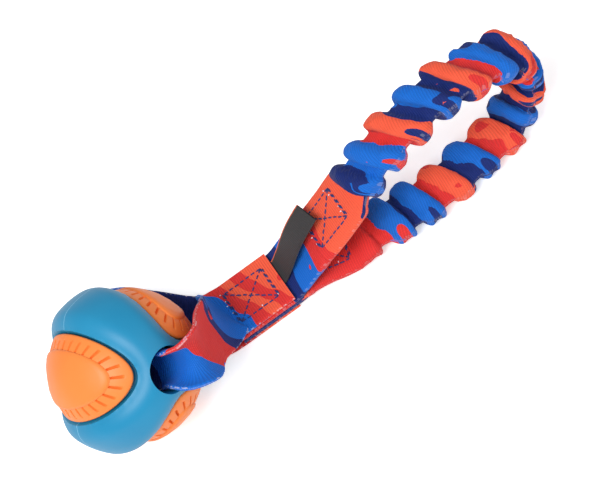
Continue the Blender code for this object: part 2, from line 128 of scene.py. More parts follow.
# Colours and grain of the rubber
ballLook = {
    "shellColour": "#0f82b0",
    "shellPale": "#2892bd",
    "seamHighlightColour": "#7fc1de",
    "seamWidth": 0.32 * mm,
    "bloomSize": 25 * mm,
    "grainSize": 0.6 * mm,
    "padColour": "#f97f35",
    "padPale": "#fc9045",
}


def mouldedRubber(name, base, pale, seam):
    # Moulded natural rubber: satin, with a faint cloudy bloom and a grain from the mould's steel
    material, tree, shader = newMaterial(name)
    place = addNode(tree, "TexCoord", {}).outputs["Object"]
    bloom = addNode(tree, "TexNoise", {"Vector": place, "Scale": 1 / ballLook["bloomSize"],
                                       "Detail": 3.0})
    finish = addNode(tree, "Mix", {"Factor": bloom, "A": linearColour(base),
                                   "B": linearColour(pale)}, data_type="RGBA").outputs["Result"]
    if seam:
        # The mould's parting line round the middle of the ball: a real thin ridge, drawn as a thin
        # pale painted highlight where light catches it
        level = addNode(tree, "Attribute", {}, attribute_name="partingLevel").outputs["Fac"]
        apart = addNode(tree, "Math", {0: level}, operation="ABSOLUTE")
        near = addNode(tree, "Math", {0: apart, 1: ballLook["seamWidth"] / 2},
                       operation="LESS_THAN")
        finish = addNode(tree, "Mix", {"Factor": near, "A": finish,
                                       "B": linearColour(ballLook["seamHighlightColour"])},
                         data_type="RGBA").outputs["Result"]
    grain = addNode(tree, "TexNoise", {"Vector": place, "Scale": 1 / ballLook["grainSize"],
                                       "Detail": 2.0})
    bump = addNode(tree, "Bump", {"Height": grain, "Strength": 0.12, "Distance": 0.1 * mm})
    setInputs(tree, shader, {"Base Color": finish, "Normal": bump, "Roughness": 0.42,
                             "Specular IOR Level": 0.35})
    return material


blueRubber = mouldedRubber("mouldedBlueRubber", ballLook["shellColour"], ballLook["shellPale"],
                           True)
orangeRubber = mouldedRubber("mouldedOrangeRubber", ballLook["padColour"], ballLook["padPale"],
                             False)


# Shape of the ball's shell, with its recesses and strap holes
ball = {
    "rimDrop": 3.2 * mm,
    "rimSlope": 7.0 * mm,
    "rimRadius": 30.1 * mm,
    "recessFloor": 26.8 * mm,
    "hollowRadius": 25.0 * mm,
    "holeRadius": 8.8 * mm,
    "holeFlare": 1.3 * mm,
    "windowShares": (0.92, 0.5933),
    "detail": 6,
}
holeAxis = Vector((0.5003, -0.6839, 0.5311)).normalized()
firstWindow = Vector((-0.7189, 0.0138, 0.6950))
firstWindow = (firstWindow - holeAxis * firstWindow.dot(holeAxis)).normalized()
windowAxes = [Matrix.Rotation(2 * math.pi * k / 3, 3, holeAxis) @ firstWindow for k in range(3)]
windowHalf = [share * ball["rimRadius"] for share in ball["windowShares"]]


def ovalDirections(axis, halfLength, halfWidth, angles):
    # Directions from the ball's middle to places on an oval at the rims' radius
    along, across, out = np.array(holeAxis), np.array(axis.cross(holeAxis)), np.array(axis)
    x = halfLength * np.cos(angles)
    y = halfWidth * np.sin(angles)
    z = np.sqrt(ball["rimRadius"] ** 2 - x * x - y * y)
    points = x[..., None] * along + y[..., None] * across + z[..., None] * out
    return points / ball["rimRadius"]


def meshOfRings(name, rings, caps=True):
    rows, size = len(rings), len(rings[0])
    faces = []
    for r in range(rows - 1):
        for k in range(size):
            n = (k + 1) % size
            faces.append((r * size + k, r * size + n, (r + 1) * size + n, (r + 1) * size + k))
    if caps:
        faces.append(tuple(range(size))[::-1])
        faces.append(tuple((rows - 1) * size + k for k in range(size)))
    data = bpy.data.meshes.new(name)
    data.from_pydata([tuple(p) for ring in rings for p in ring], [], faces)
    return data


def facingOut(data):
    work = bmesh.new()
    work.from_mesh(data)
    bmesh.ops.recalc_face_normals(work, faces=work.faces[:])
    work.to_mesh(data)
    work.free()
    return data


def ballSkin(name):
    angles = fullTurn(180)
    rims = np.concatenate([ovalDirections(a, *windowHalf, angles) for a in windowAxes])
    work = bmesh.new()
    bmesh.ops.create_icosphere(work, subdivisions=ball["detail"], radius=ballRadius)
    for vert in work.verts:
        direction = unit(np.array(vert.co))
        away = math.acos(min(np.max(rims @ direction), 1)) * ball["rimRadius"]
        for axis in windowAxes:
            x = direction @ np.array(holeAxis) * ball["rimRadius"] / windowHalf[0]
            y = direction @ np.array(axis.cross(holeAxis)) * ball["rimRadius"] / windowHalf[1]
            if direction @ np.array(axis) > 0 and math.hypot(x, y) < 1:
                away = 0
        dip = max(1 - away / ball["rimSlope"], 0)
        vert.co = direction * (ballRadius - ball["rimDrop"] * dip * dip)
    data = bpy.data.meshes.new(name)
    work.to_mesh(data)
    work.free()
    return data


def cutWith(target, data):
    tool = addObject(data.name, facingOut(data))
    change = target.modifiers.new(data.name, "BOOLEAN")
    change.operation = "DIFFERENCE"
    change.solver = "EXACT"
    change.object = tool
    return tool


def makeShell():
    shell = addPiece("ballShell", ballSkin("ballShell"), [blueRubber])
    tools = []
    angles = fullTurn(160)
    for k, axis in enumerate(windowAxes):
        rings = [ovalDirections(axis, windowHalf[0] * s, windowHalf[1] * s, angles)
                 * ball["recessFloor"] for s in (0.35, 0.7, 1.0)]
        rings += [ring * 1.5 for ring in rings[::-1]]
        tools.append(cutWith(shell, meshOfRings("recess" + str(k), rings)))
    work = bmesh.new()
    bmesh.ops.create_icosphere(work, subdivisions=4, radius=ball["hollowRadius"])
    hollow = bpy.data.meshes.new("hollow")
    work.to_mesh(hollow)
    work.free()
    tools.append(cutWith(shell, hollow))
    # The strap's hole opens out at its mouth over a rounded lip
    across, out = np.array(firstWindow.cross(holeAxis)), np.array(firstWindow)
    rings = []
    levels = (1.1, 1.0, 0.985, 0.965, 0.94, 0.90)
    flares = (3.0, 1.0, 0.55, 0.25, 0.08, 0.0)
    for side in (1, -1):
        pairs = zip(levels, flares) if side > 0 else zip(levels[::-1], flares[::-1])
        for level, flare in pairs:
            radius = ball["holeRadius"] + ball["holeFlare"] * flare
            rings.append(np.cos(angles)[:, None] * out * radius
                         + np.sin(angles)[:, None] * across * radius
                         + np.array(holeAxis) * side * level * ballRadius)
    tools.append(cutWith(shell, meshOfRings("strapHole", rings)))
    bpy.context.view_layer.update()
    shown = shell.evaluated_get(bpy.context.evaluated_depsgraph_get())
    data = bpy.data.meshes.new_from_object(shown)
    shell.modifiers.clear()
    shell.data = data
    for tool in tools:
        bpy.data.objects.remove(tool)
    heights = np.array([v.co for v in data.vertices]) @ np.array(holeAxis)
    attribute = data.attributes.new("partingLevel", "FLOAT", "POINT")
    attribute.data.foreach_set("value", heights.astype(np.float32))
    data.set_sharp_from_angle(angle=math.radians(38))
    data.transform(Matrix.Translation(Vector(ballMiddle)))
    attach(shell, "ball")
    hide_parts("ball_shell")


makeShell()
print("ball shell made")


# Shape of the three pads in their recesses
pad = {
    "gap": 0.6 * mm,
    "topRadius": 29.8 * mm,
    "edgeDrop": 0.8 * mm,
    "depth": 2.6 * mm,
    "discBorder": (5.0 * mm, 5.8 * mm),
    "discRise": 0.8 * mm,
    "discRound": 0.7 * mm,
    "slotCount": 30,
    "slotWidth": 1.0 * mm,
    "slotDepth": 1.3 * mm,
    "slotReach": (0.0, 0.66),
    "slotEase": 0.06,
    "samplesPerSlot": 14,
}


def evenOvalAngles(halfLength, halfWidth, count):
    # Angles that step evenly along the oval's edge
    fine = np.linspace(0, 2 * math.pi, 4001)
    edge = np.stack([halfLength * np.cos(fine), halfWidth * np.sin(fine)], 1)
    reach = np.concatenate([[0], np.cumsum(np.linalg.norm(np.diff(edge, axis=0), axis=1))])
    even = np.linspace(0, reach[-1], count, endpoint=False)
    return np.interp(even, reach, fine), reach[-1]


def padRows():
    # Each row: share of the way from the middle to the disc's edge and on to the pad's edge,
    # and its height over the pad's own dome
    rows = [(t, pad["discRise"]) for t in (0.04, 0.25, 0.5, 0.75, 0.9)]
    for turn in np.linspace(0, math.pi / 2, 5):
        back = pad["discRound"] * (1 - math.sin(turn)) / pad["discBorder"][1]
        rows.append((1 - back, pad["discRise"] * math.cos(turn) ** 0.8))
    rows += [(1 + t, 0.0) for t in np.linspace(0.04, 0.86, 15)]
    for turn in np.linspace(0.15, math.pi / 2, 6):
        rows.append((1.88 + 0.12 * math.sin(turn), -pad["edgeDrop"] * (1 - math.cos(turn))))
    rows.append((2.0, -pad["depth"]))
    return rows


def makePad(name, axis, node):
    halves = [half - pad["gap"] for half in windowHalf]
    disc = [half - border for half, border in zip(halves, pad["discBorder"])]
    middle = [(a + b) / 2 for a, b in zip(halves, disc)]
    count = pad["slotCount"] * pad["samplesPerSlot"]
    angles, edgeLength = evenOvalAngles(*middle, count)
    pitch = edgeLength / pad["slotCount"]
    # How far each sample is from the middle of its slot
    apart = (np.arange(count) / pad["samplesPerSlot"] + 0.5) % 1 - 0.5
    slot = np.clip(1 - np.abs(apart * pitch / (pad["slotWidth"] / 2)) ** 3, 0, 1)
    rings = []
    for share, height in padRows():
        if share <= 1:
            sizes = [d * share for d in disc]
        else:
            sizes = [d + (h - d) * (share - 1) for d, h in zip(disc, halves)]
        radius = pad["topRadius"] + height
        reach = share - 1
        low, high = pad["slotReach"]
        inSlot = min(max((high - reach) / pad["slotEase"], 0), 1) if reach > low else 0
        depth = slot * inSlot * pad["slotDepth"]
        rings.append(ovalDirections(axis, *sizes, angles) * (radius - depth)[:, None])
    data = facingOut(meshOfRings(name, rings))
    data.transform(Matrix.Translation(Vector(ballMiddle)))
    piece = addPiece(name, data, [orangeRubber])
    data.set_sharp_from_angle(angle=math.radians(50))
    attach(piece, "ball")
    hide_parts(node)


for padName, axis, node in zip(("padFront", "padLower", "padUpper"), windowAxes,
                               ("pad_front", "pad_lower", "pad_upper")):
    makePad(padName, axis, node)
print("pads made")


# Inks and weave of the printed webbing
inks = {"red": "#e23432", "coral": "#f95f41", "blue": "#0f6cd2", "navy": "#132a72"}
webbing = {
    "ribPitch": 1.0 * mm,
    "selvedge": 0.55 * mm,
    "flecks": "#e4dfe6",
    "blotch": 15 * mm,
    "blotchLevel": 0.66,
    "facesApart": 30 * mm,
    "threadPitch": 0.8 * mm,
    "loopSize": 1.1 * mm,
    "loopLevel": 0.57,
    "reliefDepth": 0.12 * mm,
    "threadShare": 0.35,
    "reliefShade": 0.085,
    "meanShade": 0.95,
    "runOut": 20 * mm,
    "fuzzSize": 0.7 * mm,
}


def weaveRibs(tree, way, pitch):
    # Even ribs over the cloth, from -1 to 1: X counts along it and Y across
    cloth = addNode(tree, "UVMap", {}, uv_map="weave")
    measure = addNode(tree, "SeparateXYZ", {0: cloth}).outputs[way]
    turn = addNode(tree, "Math", {0: measure, 1: 2 * math.pi / pitch}, operation="MULTIPLY")
    return addNode(tree, "Math", {0: turn}, operation="SINE")


def printedWebbing(name, bands, slant, wander, fleckShare, seed):
    # Woven polyester webbing with a printed camouflage: dull and ribbed across, with pale flecks
    # in the selvedge
    material, tree, shader = newMaterial(name)
    along, across, facing, edge = [
        addNode(tree, "Attribute", {}, attribute_name=word).outputs["Fac"]
        for word in ("webAlong", "webAcross", "webFacing", "webEdge")]
    side = addNode(tree, "Math", {0: facing, 1: webbing["facesApart"]}, operation="MULTIPLY")
    spot = addNode(tree, "CombineXYZ", {"X": along, "Y": across, "Z": side})
    drift = addNode(tree, "TexNoise", {"Vector": spot, "Scale": 1 / webbing["blotch"],
                                       "Detail": 1.5, "W": seed}, noise_dimensions="4D")
    patches = addNode(tree, "TexNoise", {"Vector": spot, "Scale": 1.6 / webbing["blotch"],
                                         "Detail": 1.0, "W": seed + 7}, noise_dimensions="4D")
    # The bands slant over the width, wander, and jump ahead inside a blotch
    lag = addNode(tree, "Math", {0: across, 1: slant}, operation="MULTIPLY")
    level = addNode(tree, "Math", {0: along, 1: lag}, operation="SUBTRACT")
    swing = addNode(tree, "Math", {0: drift, 1: 0.5}, operation="SUBTRACT")
    shift = addNode(tree, "Math", {0: swing, 1: 2 * wander}, operation="MULTIPLY")
    moved = addNode(tree, "Math", {0: level, 1: shift}, operation="ADD")
    blotch = addNode(tree, "Math", {0: patches, 1: webbing["blotchLevel"]},
                     operation="GREATER_THAN")
    jump = addNode(tree, "Math", {0: blotch, 1: 1.1 * wander}, operation="MULTIPLY")
    moved = addNode(tree, "Math", {0: moved, 1: jump}, operation="ADD")
    # A colour ramp takes 32 stops, so a long run of bands is split between two
    total = bands[-1][0] + webbing["runOut"]
    share = addNode(tree, "Math", {0: moved, 1: total}, operation="DIVIDE")
    middle = len(bands) // 2
    ramps = []
    for part in (bands[:middle], bands[middle:]):
        ramp = addNode(tree, "ValToRGB", {"Fac": share})
        ramp.color_ramp.interpolation = "CONSTANT"
        stops = ramp.color_ramp.elements
        while len(stops) < len(part):
            stops.new(1.0)
        for stop, (start, ink) in zip(stops, part):
            stop.position = max(start / total, 0)
            stop.color = linearColour(inks[ink])
        ramps.append(ramp)
    later = addNode(tree, "Math", {0: moved, 1: bands[middle][0]}, operation="GREATER_THAN")
    printed = addNode(tree, "Mix", {"Factor": later, "A": ramps[0], "B": ramps[1]},
                      data_type="RGBA")
    # Ribs run across the webbing, and finer threads along it. Their relief is also painted into the
    # colour as shade, darker in the grooves and lighter on the ribs
    threads = addNode(tree, "Math", {0: weaveRibs(tree, "Y", webbing["threadPitch"]),
                                     1: webbing["threadShare"]}, operation="MULTIPLY")
    relief = addNode(tree, "Math", {0: weaveRibs(tree, "X", webbing["ribPitch"]), 1: threads},
                     operation="ADD")
    shade = addNode(tree, "Math", {0: relief, 1: webbing["reliefShade"], 2: webbing["meanShade"]},
                    operation="MULTIPLY_ADD")
    paintedRibShade = addNode(tree, "CombineXYZ", {"X": shade, "Y": shade, "Z": shade})
    tinted = addNode(tree, "Mix", {"Factor": 1.0, "A": printed.outputs["Result"], "B": paintedRibShade},
                     data_type="RGBA", blend_type="MULTIPLY")
    # Pale weft loops show in dashes along the selvedge
    fray = addNode(tree, "TexNoise", {"Vector": spot, "Scale": 1 / webbing["loopSize"],
                                      "Detail": 1.0})
    atEdge = addNode(tree, "Math", {0: edge, 1: webbing["selvedge"] / 2}, operation="LESS_THAN")
    dash = addNode(tree, "Math", {0: fray, 1: webbing["loopLevel"]}, operation="GREATER_THAN")
    loops = addNode(tree, "Math", {0: atEdge, 1: dash}, operation="MULTIPLY")
    flecks = addNode(tree, "Math", {0: loops, 1: fleckShare}, operation="MULTIPLY")
    flecked = addNode(tree, "Mix", {"Factor": flecks, "A": tinted.outputs["Result"],
                                    "B": linearColour(webbing["flecks"])}, data_type="RGBA")
    bump = addNode(tree, "Bump", {"Height": relief, "Strength": 0.6,
                                  "Distance": webbing["reliefDepth"]})
    setInputs(tree, shader, {"Base Color": flecked.outputs["Result"], "Normal": bump,
                             "Roughness": 0.72, "Specular IOR Level": 0.25,
                             "Sheen Weight": 0.04})
    return material


def frayedEnd():
    # The cut end of webbing: undyed fibre inside, sealed with heat
    material, tree, shader = newMaterial("frayedWebbingEnd")
    place = addNode(tree, "TexCoord", {}).outputs["Object"]
    fuzz = addNode(tree, "TexNoise", {"Vector": place, "Scale": 1 / webbing["fuzzSize"],
                                      "Detail": 2.0})
    ramp = addNode(tree, "ValToRGB", {"Fac": fuzz})
    ramp.color_ramp.elements[0].color = linearColour("#c9b9bd")
    ramp.color_ramp.elements[1].color = linearColour("#f2eef0")
    setInputs(tree, shader, {"Base Color": ramp, "Roughness": 0.8})
    return material


frayed = frayedEnd()


def clothPiece(name, rings, along, across, facing, material, caps):
    # rings has one row of points a station. across and facing have one value a point in a row,
    # and along has one value a station or one a point.
    rings = np.array(rings)
    data = facingOut(meshOfRings(name, rings, caps=caps))
    rows, size = rings.shape[:2]
    # The cloth's own length, which is longer than the route where it is gathered
    steps = np.linalg.norm(np.diff(rings, axis=0), axis=2).mean(axis=1)
    cloth = np.ravel(along)[0] + np.concatenate([[0], np.cumsum(steps)])
    values = {
        "webAlong": np.repeat(along, size) if np.ndim(along) == 1 else along.ravel(),
        "webAcross": np.tile(across, rows),
        "webFacing": np.tile(facing, rows),
        "webEdge": np.tile(np.max(np.abs(across)) - np.abs(across), rows),
    }
    for word, numbers in values.items():
        attribute = data.attributes.new(word, "FLOAT", "POINT")
        attribute.data.foreach_set("value", numbers.astype(np.float32))
    spots = np.stack([np.repeat(cloth, size), np.tile(across, rows)], 1)
    corners = np.zeros(len(data.loops), int)
    data.loops.foreach_get("vertex_index", corners)
    data.uv_layers.new(name="weave").data.foreach_set("uv", spots[corners].ravel())
    piece = addPiece(name, data, [material, frayed])
    if caps:
        for face in data.polygons:
            if len(face.vertices) > 4:
                face.material_index = 1
    return piece


def easedRows(given, count):
    # Even steps along a smooth curve through the rows, with other values eased beside it
    rows = np.vstack([2 * given[0] - given[1], given, 2 * given[-1] - given[-2]])
    dense = []
    for k in range(1, len(rows) - 2):
        p0, p1, p2, p3 = rows[k - 1:k + 3]
        for t in np.linspace(0, 1, 20, endpoint=False):
            spot = 0.5 * (2 * p1 + (p2 - p0) * t + (2 * p0 - 5 * p1 + 4 * p2 - p3) * t * t
                          + (3 * p1 - p0 - 3 * p2 + p3) * t ** 3)
            spot[3:] = (p1 + (p2 - p1) * t)[3:]
            dense.append(spot)
    dense.append(rows[-2])
    dense = np.array(dense)
    reach = np.linalg.norm(np.diff(dense[:, :3], axis=0), axis=1)
    reach = np.concatenate([[0], np.cumsum(reach)])
    even = np.linspace(0, reach[-1], count)
    return np.stack([np.interp(even, reach, column) for column in dense.T], 1), even


# The strap through the ball. Its bands start at so many millimetres from its upper end
strap = {
    "cupRadius": 6.8 * mm,
    "stations": 300,
    "across": 24,
    "foldStart": 1.0 * mm,
    "foldLength": 12 * mm,
    "slant": 0.5,
    "wander": 6 * mm,
    "fleckShare": 0.45,
    "bands": [(0, "coral"), (5, "red"), (11, "coral"), (17, "red"), (24, "blue"), (45, "navy"),
              (52, "red"), (75, "blue"), (97, "navy"), (150, "blue"), (165, "navy"), (214, "red"),
              (228, "coral")],
}
# Places in shares of the ball's radius, the way the strap faces there, and how far it is cupped
frontStrand = [
    (1.220, 0.180, -0.672, 0.12, 0.00, 0.99, 0.06),
    (1.160, 0.125, -0.550, 0.66, -0.10, 0.75, 0.22),
    (1.115, -0.030, -0.350, 0.90, -0.20, 0.35, 0.16),
    (1.025, -0.265, 0.005, 0.92, -0.35, 0.15, 0.12),
    (0.920, -0.460, 0.230, 0.85, -0.45, 0.25, 0.22),
    (0.830, -0.620, 0.380, 0.74, -0.58, 0.36, 0.40),
]
backStrand = [
    (-0.180, 0.975, -0.470, -0.18, 0.90, -0.40, 0.40),
    (0.165, 0.920, -0.500, 0.15, 0.86, -0.48, 0.15),
    (0.460, 0.705, -0.635, 0.39, 0.65, -0.65, 0.05),
    (0.738, 0.405, -0.695, 0.50, 0.38, -0.78, 0.05),
    (0.925, 0.262, -0.790, 0.35, 0.20, -0.90, 0.05),
    (1.062, 0.196, -0.906, 0.00, 0.05, -1.00, 0.00),
    (1.190, 0.183, -0.919, 0.00, 0.00, -1.00, 0.00),
]
lowTail = strapThickness + seatGap + tailThickness / 2
highTail = lowTail + tailThickness + seatGap
topStrap = highTail + tailThickness / 2 + seatGap + strapThickness / 2
patchLeft = patchMiddle[0] - patchLength / 2
patchRight = patchMiddle[0] + patchLength / 2


def strapStations():
    axis = np.array(holeAxis)
    middle = np.array((0, 0, ballHeight))
    nearSide = np.array((0.962, -0.236, -0.136))
    nearSide = unit(nearSide - axis * (nearSide @ axis))
    farSide = np.array((0.550, 0.800, 0.200))
    farSide = unit(farSide - axis * (farSide @ axis))
    inner = patchLeft + 0.4 * patchLength
    rows = [(x, patchMiddle[1], topStrap, 0, 0, 1, 0) for x in (patchRight, inner, patchLeft)]
    for strand in (frontStrand, backStrand):
        if strand is backStrand:
            mouth = ballRadius + 0.5 * strapThickness
            for level, aside, facing, cup in (
                    (mouth, nearSide * 1.15, axis - nearSide, 0.8),
                    (0.92 * ballRadius, nearSide, -nearSide, 1.0),
                    (0.72 * ballRadius, nearSide, -nearSide, 1.0),
                    (0.4 * ballRadius, nearSide * 0.5, -nearSide, 0.6),
                    (0, nearSide * 0, -nearSide - farSide, 0.3),
                    (-0.4 * ballRadius, farSide * 0.5, -farSide, 0.6),
                    (-0.72 * ballRadius, farSide, -farSide, 1.0),
                    (-0.92 * ballRadius, farSide, -farSide, 1.0),
                    (-mouth, farSide * 1.15, -axis - farSide, 0.8)):
                spot = middle + axis * level + aside * strap["cupRadius"]
                rows.append((*spot, *unit(facing), cup))
        for row in strand:
            rows.append((*(middle + ballRadius * np.array(row[:3])), *unit(np.array(row[3:6])),
                         row[6]))
    rows += [(x, patchMiddle[1], strapThickness / 2, 0, 0, -1, 0)
             for x in (patchLeft, inner, patchRight)]
    return np.array(rows, float)


def bandProfile(width, thickness, count):
    # Across and height of points round a flat band with rounded selvedges, and the face of each
    selvedge = thickness / 2
    flat = np.linspace(-1, 1, count + 1) * (width / 2 - selvedge)
    turn = np.radians((25, 50, 75))
    over = width / 2 - selvedge + selvedge * np.sin(turn)
    lift = selvedge * np.cos(turn)
    across = np.concatenate([flat, over, [width / 2], over[::-1], flat[::-1], -over, [-width / 2],
                             -over[::-1]])
    height = np.concatenate([np.full(count + 1, selvedge), lift, [0], -lift[::-1],
                             np.full(count + 1, -selvedge), -lift, [0], lift[::-1]])
    return across, height, np.sign(height)


def makeBallStrap():
    rows, reach = easedRows(strapStations(), strap["stations"])
    across, height, facing = bandProfile(webbingWidth, strapThickness, strap["across"])
    rings = []
    last = len(rows) - 1
    for k, row in enumerate(rows):
        forward = unit(rows[min(k + 2, last), :3] - rows[max(k - 2, 0), :3])
        side = unit(row[3:6] - forward * (row[3:6] @ forward))
        wide = np.cross(forward, side)
        bend = row[6] / strap["cupRadius"]
        angle = (bend * across)[:, None]
        if bend * webbingWidth < 0.01:
            spots = row[:3] + wide * across[:, None]
            normals = np.repeat(side[None, :], len(across), 0)
        else:
            spots = row[:3] + (wide * np.sin(angle) + side * (1 - np.cos(angle))) / bend
            normals = side * np.cos(angle) - wide * np.sin(angle)
        # An edge that would go through the floor lies on it
        lowest = strapThickness / 2
        spots[:, 2] = np.maximum(spots[:, 2], lowest * (1 + np.abs(row[2] - spots[:, 2])
                                                        / webbingWidth))
        ring = spots + normals * height[:, None]
        ring[:, 2] = np.maximum(ring[:, 2], 0.00001)
        rings.append(ring + toyShift)
    bands = [(start * mm, ink) for start, ink in strap["bands"]]
    cloth = printedWebbing("printedStrapWebbing", bands, strap["slant"], strap["wander"],
                           strap["fleckShare"], 3.0)
    piece = clothPiece("ballStrap", rings, reach, across, facing, cloth, caps=True)
    piece.data.set_sharp_from_angle(angle=math.radians(60))
    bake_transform(piece)
    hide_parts("ball_strap")
    return reach[-1]


strapLength = makeBallStrap()
print("ball strap made,", round(strapLength / mm), "mm")


# The gathered handle. Its tail's bands are in millimetres from either end
handle = {
    "reach": 122.5 * mm,
    "height": 57.0 * mm,
    "stub": 3.0 * mm,
    "sleeveHalfWidth": 9.6 * mm,
    "sleeveHalfThickness": 3.6 * mm,
    "flatHalfThickness": 2.9 * mm,
    "rollPitch": 13.8 * mm,
    "rollDepth": 2.0 * mm,
    "rollStart": 6.7 * mm,
    "rollSlant": 0.34,
    "rollLag": 0.20,
    "rollLean": 2.4 * mm,
    "rollSwell": 0.6 * mm,
    "rollShare": 0.33,
    "creaseDepth": 0.75 * mm,
    "gatherEase": 9.0 * mm,
    "gatherUpper": 48 * mm,
    "gatherLower": 32 * mm,
    "tailUpper": 25 * mm,
    "tailLower": 9.5 * mm,
    "gripUpper": 40 * mm,
    "gripLower": 20 * mm,
    "ringStep": 0.6 * mm,
    "acrossCount": 26,
    # Printed inks on the rolls, partly print and partly painted shade: lighter inks are laid on the
    # crests and darker ones in the valleys
    "litRidgeInks": "navy blue coral blue coral blue coral blue coral blue coral blue coral blue blue",
    "shadedValleyInks": "blue red navy navy red navy red navy navy navy red navy red navy red",
    "ridgeSpan": (0.30, 0.26),
    "tailBands": [(0, "red"), (25, "navy"), (32, "blue"), (45, "red"), (56, "coral")],
    "endBands": [(34, "coral"), (29, "navy")],
    "wander": 4 * mm,
    "fleckShare": 0.15,
    "warpSize": 16 * mm,
    "warpShare": 0.07,
    "creaseSize": 5 * mm,
    "tailEaseUpper": 10 * mm,
    "tailEaseLower": 5 * mm,
    "foldSetback": 1 * mm,
    "foldUpper": 13 * mm,
    "foldLower": 8 * mm,
    "firmEnd": 22 * mm,
    "pinchPlace": 0.95,
    "pinchWidth": 0.45,
    "pinchLength": 0.12,
    "pinchDepth": 0.8,
    "seed": 11,
}
# Share of the reach, share of the webbing's width aside, share of the height
upperStrand = [
    (0.058, -0.01, 0.170), (0.138, -0.04, 0.300), (0.218, -0.08, 0.418), (0.298, -0.10, 0.545),
    (0.395, -0.11, 0.705), (0.490, -0.12, 0.838), (0.588, -0.12, 0.930), (0.682, -0.12, 0.985),
    (0.772, -0.12, 0.995), (0.858, -0.11, 0.970), (0.934, -0.10, 0.895), (0.988, -0.08, 0.765),
    (1.006, -0.05, 0.560), (0.980, -0.04, 0.360), (0.934, -0.08, 0.215),
]
lowerStrand = [
    (0.880, -0.17), (0.790, -0.25), (0.650, -0.34), (0.530, -0.37), (0.390, -0.32),
    (0.310, -0.24), (0.210, -0.13), (0.130, -0.04), (0.060, 0.00), (0.020, 0.00),
]


def handleRoute():
    left = patchLeft - handle["stub"]
    flatLie = handle["sleeveHalfThickness"] + seatGap
    rolledLie = flatLie + 1.4 * handle["rollDepth"]
    flatEnds = (left, left + 0.6 * patchLength, patchRight - 2 * tailThickness,
                patchRight + 0.5 * tailThickness)
    rows = [(x, patchMiddle[1], highTail) for x in flatEnds]
    for along, aside, up in upperStrand:
        rows.append((patchRight + along * handle["reach"], patchMiddle[1] + aside * webbingWidth,
                     up * handle["height"]))
    for along, aside in lowerStrand:
        up = lowTail + (flatLie - lowTail) * min(along / 0.06, 1)
        up += (rolledLie - flatLie) * min(max((along - 0.25) / 0.09, 0), 1)
        rows.append((patchRight + along * handle["reach"], patchMiddle[1] + aside * webbingWidth,
                     up))
    rows += [(x, patchMiddle[1], lowTail) for x in flatEnds[::-1]]
    return easedRows(np.array(rows), 900)


route, routeReach = handleRoute()
route = route + toyShift
wholeLength = routeReach[-1]
patchReach = handle["stub"] + patchLength
gatherSpan = (patchReach + handle["gatherUpper"], wholeLength - patchReach - handle["gatherLower"])
tailEnds = (patchReach + handle["tailUpper"], wholeLength - patchReach - handle["tailLower"])
tipReach = routeReach[int(np.argmax(route[:, 0]))]
gripSpan = (tipReach - handle["gripUpper"], tipReach + handle["gripLower"]
            + 0.5 * handle["gripUpper"])


def routeFrame(lengths):
    step = 2 * mm
    place, ahead, behind = [
        np.stack([np.interp(at, routeReach, route[:, k]) for k in range(3)], 1)
        for at in (lengths, lengths + step, lengths - step)]
    forward = unit(ahead - behind)
    side = unit(np.array((0, 1.0, 0)) - forward * forward[:, 1:2])
    return place, forward, np.cross(forward, side), side


rollRandom = np.random.default_rng(handle["seed"]).uniform(-1, 1, (40, 4))


def rollTurns(lengths, across):
    # How far the gathering has set in, and how many rolls lie between here and the first
    s = lengths[:, None]
    ease = handle["gatherEase"]
    gather = np.clip((s - gatherSpan[0]) / ease, 0, 1) * np.clip((gatherSpan[1] - s) / ease, 0, 1)
    forward = routeFrame(lengths)[1][:, :1]
    slant = handle["rollSlant"] * (0.27 + forward) * across - handle["rollLag"] * forward
    return gather, (s - gatherSpan[0] - handle["rollStart"]) / handle["rollPitch"] + slant


def rollPlace(turn):
    # Which roll a place is on, and how far from its crest in shares of the pitch
    nearest = np.round(turn)
    return np.clip(nearest, -2, 30).astype(int) + 3, turn - nearest


def pinchAt(across, number, phase):
    # Where a roll is pinched to a fold, mostly at the webbing's near edge
    edge = np.where(rollRandom[number, 1] < 0.55, -handle["pinchPlace"], handle["pinchPlace"])
    return np.exp(-((across - edge) / handle["pinchWidth"]) ** 2
                  - (phase / handle["pinchLength"]) ** 2)


